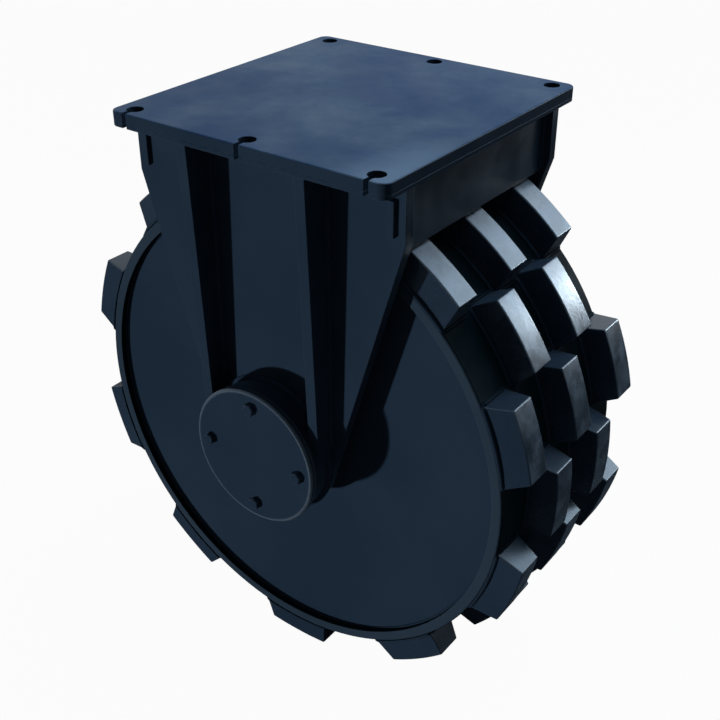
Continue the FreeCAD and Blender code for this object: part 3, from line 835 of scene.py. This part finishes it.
@dataclass
class Hub:
    """Bearing housing, gasket, cover and bolts at one end of the axle.

    Attributes:
        finishes: The finishes to use.
        side: The end of the axle.
        bolt_circle: The radius that the bolts stand on, in metres.
        bolt_count: How many bolts there are.
        head_flats: The width of a head over its flats, in metres.
        head_height: The height of a head, in metres.
        crown_drop: How far the crown slopes at its rim, in metres.
        crown_share: The crown's radius, as a share of the width over flats.
        washer_height: The height of the washer face, in metres.
        washer_share: The washer face's radius, as a share of the width over flats.
        head_sides: Corners round a head.
        first_turn: How far the first head is turned, in radians.
        next_turn: How much further each head is turned than the last, in radians.
        edge: The round on the housing and cover.
        head_edge: The round on the heads.
        bead: The bead round the housing.
    """

    finishes: Finishes
    side: Side
    bolt_circle: float = 0.116
    bolt_count: int = 4
    head_flats: float = 0.024
    head_height: float = 0.010
    crown_drop: float = 0.0018
    crown_share: float = 0.46
    washer_height: float = 0.0008
    washer_share: float = 0.48
    head_sides: int = 24
    first_turn: float = 0.12
    next_turn: float = 0.21
    edge: SoftEdges = SoftEdges(0.0010)
    head_edge: SoftEdges = SoftEdges(0.0005, 2)
    bead: WeldBead = WeldBead(0.009, pitch=0.007)

    def dress(self) -> None:
        """Paints the hub, replaces its bolts and welds it to the fork."""
        paints = self.finishes
        for name, paint in (("bearing_housing", paints.fork), ("hub_cover", paints.cover)):
            node = self.side.node(name)
            paints.dress(node, paint)
            self.edge.put_on(frame["nodes"][node])
        paints.dress(self.side.node("cover_gasket"), paints.slots[Slot.GASKET])
        self._bolts()
        self._weld()

    def _bolts(self) -> None:
        """Puts hexagon bolts with a chamfered crown in the place of the plain ones."""
        mesh = bmesh.new()
        for index in range(self.bolt_count):
            turn = math.pi / 2 - 2 * math.pi * index / self.bolt_count
            centre = AXLE + spoke(turn) * self.bolt_circle
            centre.y = outer_face(self.side, "hub_cover")
            self._bolt_head(mesh, centre, self.first_turn + self.next_turn * index)
        piece = new_piece(self.side.node("bolt_heads"), mesh, BRACKET,
                          self.finishes.fork, smooth=False)
        self.head_edge.put_on(piece)
        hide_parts(self.side.node("cover_bolts"))

    def _bolt_head(self, mesh: Mesh, centre: Vector, turned: float) -> None:
        """Adds one head on its seat: washer face, six flats, and a round crown."""
        out = Vector((0, self.side.value, 0))
        washer = self.head_flats * self.washer_share
        # A level with no radius is the hexagon.
        levels = (
            (0.0, washer),
            (self.washer_height, washer),
            (self.washer_height, None),
            (self.head_height - self.crown_drop, None),
            (self.head_height, self.head_flats * self.crown_share),
        )
        rings = []
        for height, radius in levels:
            ring = []
            for step in range(self.head_sides):
                angle = 2 * math.pi * step / self.head_sides
                from_flat = (angle % (math.pi / 3)) - math.pi / 6
                reach = radius or self.head_flats / 2 / math.cos(from_flat)
                ring.append(mesh.verts.new(centre + spoke(angle + turned) * reach + out * height))
            rings.append(ring)
        for one, other in zip(rings, rings[1:]):
            bridge(mesh, one, other)
        mesh.faces.new(tuple(reversed(rings[0])))
        mesh.faces.new(rings[-1])

    def _weld(self) -> None:
        """Lays the bead round the housing's foot on the side plate."""
        mesh = bmesh.new()
        centre = Vector((AXLE.x, outer_face(self.side, "side_plate"), AXLE.z))
        radius = radius_of(self.side.node("bearing_housing"))
        self.bead.lay_round(mesh, centre, radius, 1, self.side.value)
        new_piece(self.side.node("housing_weld"), mesh, BRACKET, self.finishes.weld)


@dataclass
class Drum:
    """Rolled shell, side discs and hub tube, with their round beads."""

    finishes: Finishes
    edge: SoftEdges = SoftEdges(0.0020)
    rim_bead: WeldBead = WeldBead(0.0032, pitch=0.006)
    tube_bead: WeldBead = WeldBead(0.009, pitch=0.008)

    def dress(self) -> None:
        """Paints the drum and lays the beads of both discs."""
        for node in ("hub_tube", *(side.node("drum_disc") for side in Side)):
            self.finishes.dress(node, self.finishes.drum)
        self.finishes.dress("drum_shell", self.finishes.shell)
        self.edge.put_on(frame["nodes"]["drum_shell"])
        for side in Side:
            mesh = bmesh.new()
            centre = Vector((AXLE.x, outer_face(side, "drum_disc"), AXLE.z))
            self.rim_bead.lay_round(mesh, centre, radius_of(side.node("drum_disc")), -1, side.value)
            self.tube_bead.lay_round(mesh, centre, radius_of("hub_tube"), 1, side.value)
            new_piece(side.node("disc_welds"), mesh, WHEEL, self.finishes.drum_weld)


@dataclass
class Pads:
    """The pads on the drum, in rows of three and rows of two by turns.

    Attributes:
        finishes: The finishes to use.
        rows: How many rows there are.
        tip_length: The length of a tip round the drum, in metres.
        tip_width: The width of a tip along the axle, in metres.
        end_slope: How far the flanks at the ends lean, in degrees.
        side_slope: How far the flanks at the sides lean, in degrees.
        settling_steps: How often the foot's length is worked out anew.
        edge: The round on every pad.
        bead: The bead round every foot.
        drum_radius: The drum's outer radius, in metres.
        half_length: Half the length of a foot, in metres.
        half_width: Half the width of a foot in its middle, in metres.
        half_width_at_ends: Half its width at its ends, which lie lower, in metres.
    """

    finishes: Finishes
    rows: int = 20
    tip_length: float = 0.151
    tip_width: float = 0.060
    end_slope: float = 9.0
    side_slope: float = 8.0
    settling_steps: int = 4
    edge: SoftEdges = SoftEdges(0.0028)
    bead: WeldBead = WeldBead(0.006, pitch=0.009, arc_steps=4)
    drum_radius: float = field(init=False)
    half_length: float = field(init=False)
    half_width: float = field(init=False)
    half_width_at_ends: float = field(init=False)

    def __post_init__(self) -> None:
        """Works out a pad's foot, which widens down to the drum's round face."""
        self.drum_radius = radius_of("drum_shell")
        tip_radius = AXLE.z - CAD_BOX[0].z
        self.half_length = self.tip_length / 2
        for _ in range(self.settling_steps):
            fall = tip_radius - math.sqrt(self.drum_radius ** 2 - self.half_length ** 2)
            self.half_length = self.tip_length / 2 + fall * math.tan(math.radians(self.end_slope))
        slope = math.tan(math.radians(self.side_slope))
        self.half_width = self.tip_width / 2 + (tip_radius - self.drum_radius) * slope
        self.half_width_at_ends = self.tip_width / 2 + fall * slope

    def dress(self) -> None:
        """Softens and paints the pads, then lays a bead round each foot."""
        for row in range(1, self.rows + 1):
            node = f"pad_row_{row:02d}"
            self.finishes.dress(node, self.finishes.pad)
            self.edge.put_on(frame["nodes"][node])
            mesh = bmesh.new()
            bearing = math.radians(90 - 360 / self.rows * row)
            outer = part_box(node)[1].y - self.half_width_at_ends
            for place in (-outer, 0.0, outer) if row % 2 else (-outer, outer):
                self._foot(mesh, bearing, AXLE + Vector((0, place, 0)))
            new_piece(f"{node}_weld", mesh, WHEEL, self.finishes.drum_weld)

    def _foot(self, mesh: Mesh, bearing: float, centre: Vector) -> None:
        """Lays the four beads of one pad.

        Args:
            mesh: The mesh that they are added to.
            bearing: The pad's turn from the top towards +X.
            centre: The point on the axle's line that the pad stands over.
        """
        reach = math.asin(self.half_length / self.drum_radius)
        turn = Matrix.Rotation(bearing, 3, "Y")

        def out(angle: float) -> Vector:
            """The direction away from the axle, at an angle from the pad's middle."""
            return turn @ Vector((math.sin(angle), 0, math.cos(angle)))

        def spot(angle: float, across: float) -> Vector:
            """The point of the drum's face there, so far along the axle."""
            return centre + out(angle) * self.drum_radius + Vector((0, across, 0))

        for way in (-1, 1):
            self.bead.lay(
                mesh,
                lambda share: spot(reach * (2 * share - 1), way * self.half_width),
                2 * self.half_length,
                lambda share: (Vector((0, way, 0)), out(reach * (2 * share - 1))),
            )
            end_way = turn @ Vector((way * math.cos(reach), 0, -math.sin(reach)))
            self.bead.lay(
                mesh,
                lambda share: spot(way * reach, self.half_width * (2 * share - 1)),
                2 * self.half_width,
                lambda share: (end_way, out(way * reach)),
            )


@dataclass
class InnerWorks:
    """What the hubs hold: shaft, bearings, seals and nuts."""

    finishes: Finishes

    def dress(self) -> None:
        """Gives each inner node the finish of its slot."""
        slot_of = {row["node"]: Slot(row["material_slot"]) for row in frame["record"]["subparts"]}
        for node, slot in sorted(slot_of.items()):
            if slot not in (Slot.PAINT, Slot.GASKET):
                self.finishes.dress(node, self.finishes.slots[slot])


# Stage, lamps and camera

@dataclass(frozen=True)
class Lamp:
    """A soft box, or a sun if it has no size.

    Attributes:
        name: Its name.
        place: Where it stands.
        aim: The point that it looks at.
        power: Its power in watts, or a sun's strength.
        colour: Its colour.
        width: Its width in metres.
        height: Its height in metres.
        mirrored: Whether gloss shows it.
        lights: Whether it lights matt faces.
        sun_spread: How wide a sun looks, in degrees.
    """

    name: str
    place: Triple
    aim: Triple
    power: float
    colour: Colour
    width: float = 0.0
    height: float = 0.0
    mirrored: bool = True
    lights: bool = True
    sun_spread: float = 2.5

    def light(self) -> None:
        """Puts the lamp in the scene."""
        data = bpy.data.lights.new(self.name, "AREA" if self.width else "SUN")
        data.energy = self.power
        data.color = self.colour
        if self.width:
            data.shape = "RECTANGLE"
            data.size = self.width
            data.size_y = self.height
        else:
            data.angle = math.radians(self.sun_spread)
        item = bpy.data.objects.new(self.name, data)
        item.location = self.place
        way = Vector(self.aim) - Vector(self.place)
        item.rotation_mode = "QUATERNION"
        item.rotation_quaternion = way.to_track_quat("-Z", "Y")
        item.visible_camera = False
        item.visible_glossy = self.mirrored
        item.visible_diffuse = self.lights
        bpy.context.scene.collection.objects.link(item)
        log.info("lit %s", self.name)


@dataclass
class Studio:
    """Plain pale floor, white surroundings, soft lamps and the camera.

    Attributes:
        floor_radius: The floor's radius, in metres.
        floor_sides: Corners round the floor.
        floor_colour: The floor's own colour, which keeps the shadows.
        floor_roughness: How matt the floor is.
        floor_gloss: How much the floor mirrors.
        floor_glow: How much of the floor's look is plain white.
        card_colour: The colour of the card that only gloss shows.
        card_lift: How far the card lies over the floor, in metres.
        ambient: The colour of the light from all round.
        ambient_strength: How strong that light is.
        azimuth: The camera's turn from the front towards +X, in degrees.
        elevation: Its height over the horizon, in degrees.
        lens: Its focal length, in millimetres.
        sensor: The width of its sensor, in millimetres.
        target: The point that it looks at.
        distance: How far it stands from there, in metres.
        lamps: Every lamp.
    """

    floor_radius: float = 9.0
    floor_sides: int = 96
    floor_colour: Colour = (0.55, 0.55, 0.55)
    floor_roughness: float = 0.9
    floor_gloss: float = 0.1
    floor_glow: float = 0.965
    card_colour: Colour = (0.028, 0.042, 0.060)
    card_lift: float = 0.002
    ambient: Colour = (0.80, 0.90, 1.0)
    ambient_strength: float = 0.045
    azimuth: float = 36.35
    elevation: float = 30.73
    lens: float = 56.24
    sensor: float = 36.0
    target: Triple = (0.025, 0.0, -0.5856)
    distance: float = 2.469
    lamps: tuple[Lamp, ...] = (
        Lamp("key_sun", (-1.6, -2.0, -1.86), (0.0, 0.0, -0.66), 3.4, (0.97, 0.98, 1.0),
             mirrored=False),
        Lamp("rim_box", (1.75, 2.05, 0.95), (0.4, 0.0, -0.3), 60.0, (0.78, 0.90, 1.0),
             width=2.3, height=1.40, lights=False),
        Lamp("edge_box", (1.81, 2.81, 0.19), (0.47, 0.18, -0.33), 62.0, (0.90, 0.97, 1.0),
             width=0.6, height=0.6, lights=False),
        Lamp("back_sun", (-0.35, 1.0, -0.76), (0.0, 0.0, -0.66), 2.0, (0.97, 0.98, 1.0),
             mirrored=False),
        Lamp("top_box", (0.5, 0.9, 2.2), (0.0, 0.0, -0.2), 72.0, (0.86, 0.93, 1.0),
             width=1.8, height=1.8, mirrored=False),
    )

    def build(self) -> None:
        """Makes everything round the object."""
        self._world()
        self._floor()
        self._dark_card()
        for lamp in self.lamps:
            lamp.light()
        self._camera()
        bpy.context.scene.view_settings.view_transform = "Standard"

    def _seen(self, tree: bpy.types.NodeTree) -> Socket:
        """1 for the rays of the camera, of gloss and through glass, or else 0."""
        path = tree.nodes.new("ShaderNodeLightPath")
        total = path.outputs["Is Camera Ray"]
        for kind in ("Is Glossy Ray", "Is Transmission Ray"):
            either = tree.nodes.new("ShaderNodeMath")
            either.operation = "MAXIMUM"
            tree.links.new(total, either.inputs[0])
            tree.links.new(path.outputs[kind], either.inputs[1])
            total = either.outputs[0]
        return total

    def _world(self) -> None:
        """Makes surroundings that are white to look at and give a dim light."""
        world = bpy.data.worlds.new("surroundings")
        bpy.context.scene.world = world
        world.use_nodes = True
        tree = world.node_tree
        dim = tree.nodes["Background"]
        dim.inputs["Color"].default_value = (*self.ambient, 1.0)
        dim.inputs["Strength"].default_value = self.ambient_strength
        white = tree.nodes.new("ShaderNodeBackground")
        white.inputs["Color"].default_value = (1.0, 1.0, 1.0, 1.0)
        mix = tree.nodes.new("ShaderNodeMixShader")
        tree.links.new(self._seen(tree), mix.inputs[0])
        tree.links.new(dim.outputs[0], mix.inputs[1])
        tree.links.new(white.outputs[0], mix.inputs[2])
        tree.links.new(mix.outputs[0], tree.nodes["World Output"].inputs["Surface"])

    def _sheet(self, name: str, lift: float, material: bpy.types.Material) -> bpy.types.Object:
        """Lays a flat round sheet under the object, which isn't part of it.

        It lies this far over the lowest pads, in metres, and throws no shadow.
        """
        mesh = bmesh.new()
        bmesh.ops.create_circle(mesh, cap_ends=True, radius=self.floor_radius,
                                segments=self.floor_sides)
        data = bpy.data.meshes.new(name)
        mesh.to_mesh(data)
        mesh.free()
        data.materials.append(material)
        item = bpy.data.objects.new(name, data)
        item.location = (0.0, 0.0, CAD_BOX[0].z + lift)
        item.visible_shadow = False
        bpy.context.scene.collection.objects.link(item)
        return item

    def _floor(self) -> None:
        """Lays a pale floor under the lowest pads that keeps the object's shadow."""
        sketch = Sketch("pale_floor")
        sketch.put("Base Color", self.floor_colour)
        sketch.put("Roughness", self.floor_roughness)
        sketch.put("Specular IOR Level", self.floor_gloss)
        mix = sketch.add("ShaderNodeMixShader")
        glow = sketch.add("ShaderNodeEmission")
        sketch.feed(mix.inputs[0], sketch.combine("MULTIPLY", self._seen(sketch.tree),
                                                  self.floor_glow))
        sketch.feed(mix.inputs[1], sketch.shader.outputs[0])
        sketch.feed(mix.inputs[2], glow.outputs[0])
        sketch.feed(sketch.tree.nodes["Material Output"].inputs["Surface"], mix.outputs[0])
        self._sheet("floor", 0.0, sketch.material)

    def _dark_card(self) -> None:
        """Lays a dark card on the floor that only gloss shows, to keep dark paint dark."""
        sketch = Sketch("card_black")
        sketch.put("Base Color", self.card_colour)
        sketch.put("Roughness", 1.0)
        card = self._sheet("dark_card", self.card_lift, sketch.material)
        card.visible_camera = False
        card.visible_diffuse = False
        card.visible_transmission = False

    def _camera(self) -> None:
        """Puts the camera at the photograph's angle."""
        azimuth, elevation = math.radians(self.azimuth), math.radians(self.elevation)
        back = Vector((
            math.sin(azimuth) * math.cos(elevation),
            -math.cos(azimuth) * math.cos(elevation),
            math.sin(elevation),
        ))
        data = bpy.data.cameras.new("camera")
        data.lens = self.lens
        data.sensor_width = self.sensor
        item = bpy.data.objects.new("camera", data)
        item.location = Vector(self.target) + back * self.distance
        item.rotation_mode = "QUATERNION"
        item.rotation_quaternion = (-back).to_track_quat("-Z", "Y")
        bpy.context.scene.collection.objects.link(item)
        bpy.context.scene.camera = item


def main() -> None:
    """Builds the looks, sub-assembly by sub-assembly."""
    finishes = Finishes()
    Plates(finishes).dress()
    Fork(finishes).dress()
    for side in Side:
        Hub(finishes, side).dress()
    Drum(finishes).dress()
    Pads(finishes).dress()
    InnerWorks(finishes).dress()
    Studio().build()


if __name__ == "__main__":
    main()
